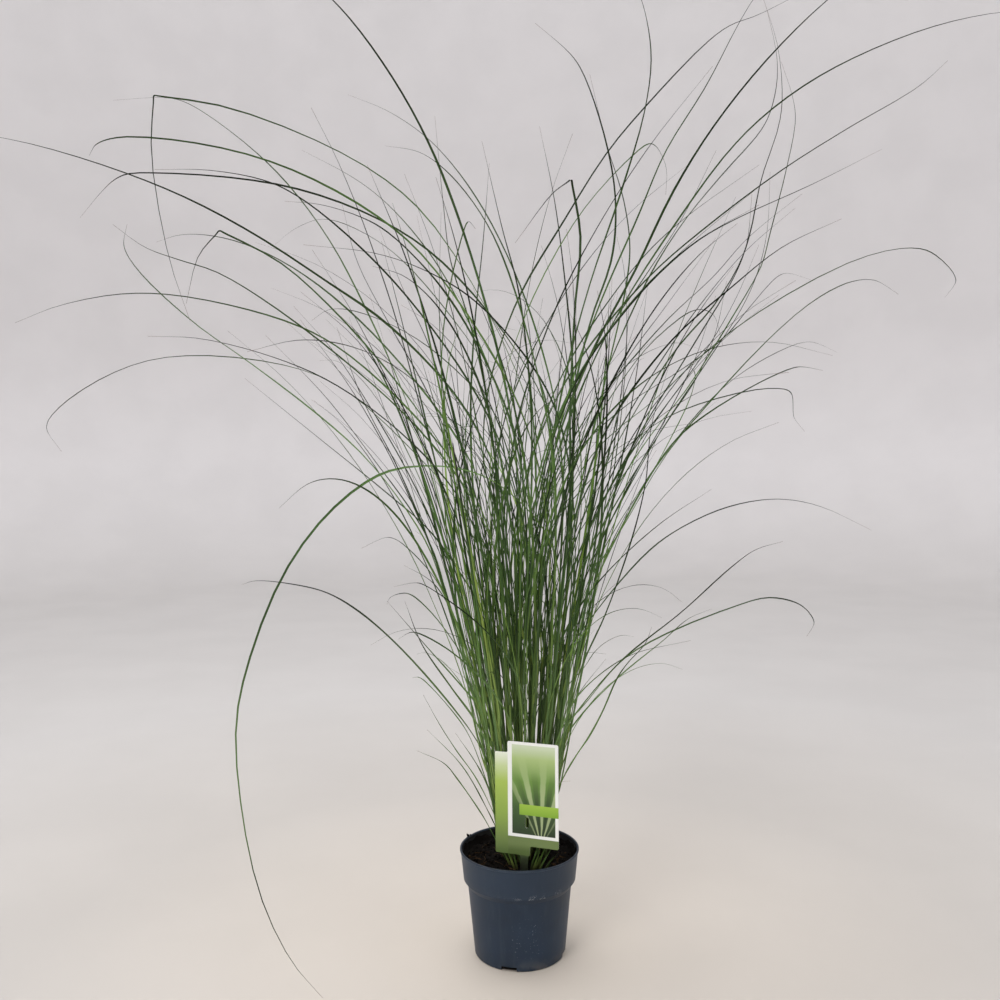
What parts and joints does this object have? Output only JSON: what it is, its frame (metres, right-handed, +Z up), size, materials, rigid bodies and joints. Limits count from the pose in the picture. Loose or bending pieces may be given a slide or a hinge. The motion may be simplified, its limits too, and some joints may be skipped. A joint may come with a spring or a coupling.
{
  "type": "potted maiden grass",
  "caption": "Ornamental grass with long, narrow, arching blades, growing as a dense clump in a round tapered nursery pot filled with soil, with a bare plant label on a stake.",
  "frame": {"origin": "centre of the pot's underside, on the surface that the pot stands on", "axes": "+Z up; the label faces -Y and a little towards -X; +X is to the right seen from the front"},
  "size_m": [1.5439, 0.9773, 1.4176],
  "materials": {
    "pot_plastic": "satin injection-moulded plastic, dark blue-grey",
    "potting_soil": "damp dark peat with fibres",
    "label_card": "printed plastic card, green and white, with no lettering",
    "leaf": "living grass blade, satin green with a pale midrib"
  },
  "bodies": {
    "root": {"pot": "pot_plastic", "soil": "potting_soil", "plant_label": "label_card", "leafy_stem_01": "leaf", "leafy_stem_02": "leaf", "leafy_stem_03": "leaf", "leafy_stem_04": "leaf", "leafy_stem_05": "leaf", "leafy_stem_06": "leaf", "leafy_stem_07": "leaf", "leafy_stem_08": "leaf", "leafy_stem_09": "leaf", "leafy_stem_10": "leaf", "leafy_stem_11": "leaf", "leafy_stem_12": "leaf", "leafy_stem_13": "leaf", "leafy_stem_14": "leaf", "leafy_stem_15": "leaf", "leafy_stem_16": "leaf", "leafy_stem_17": "leaf", "leafy_stem_18": "leaf", "leafy_stem_19": "leaf", "leafy_stem_20": "leaf", "leafy_stem_21": "leaf", "leafy_stem_22": "leaf", "leafy_stem_23": "leaf", "leafy_stem_24": "leaf", "leafy_stem_25": "leaf", "leafy_stem_26": "leaf", "leafy_stem_27": "leaf", "leafy_stem_28": "leaf", "leafy_stem_29": "leaf", "leafy_stem_30": "leaf", "leafy_stem_31": "leaf", "leafy_stem_32": "leaf", "leafy_stem_33": "leaf", "leafy_stem_34": "leaf", "leafy_stem_35": "leaf", "leafy_stem_36": "leaf", "leafy_stem_37": "leaf", "leafy_stem_38": "leaf", "leafy_stem_39": "leaf", "leafy_stem_40": "leaf", "leafy_stem_41": "leaf", "leafy_stem_42": "leaf", "leafy_stem_43": "leaf", "leafy_stem_44": "leaf"}
  },
  "joints": []
}
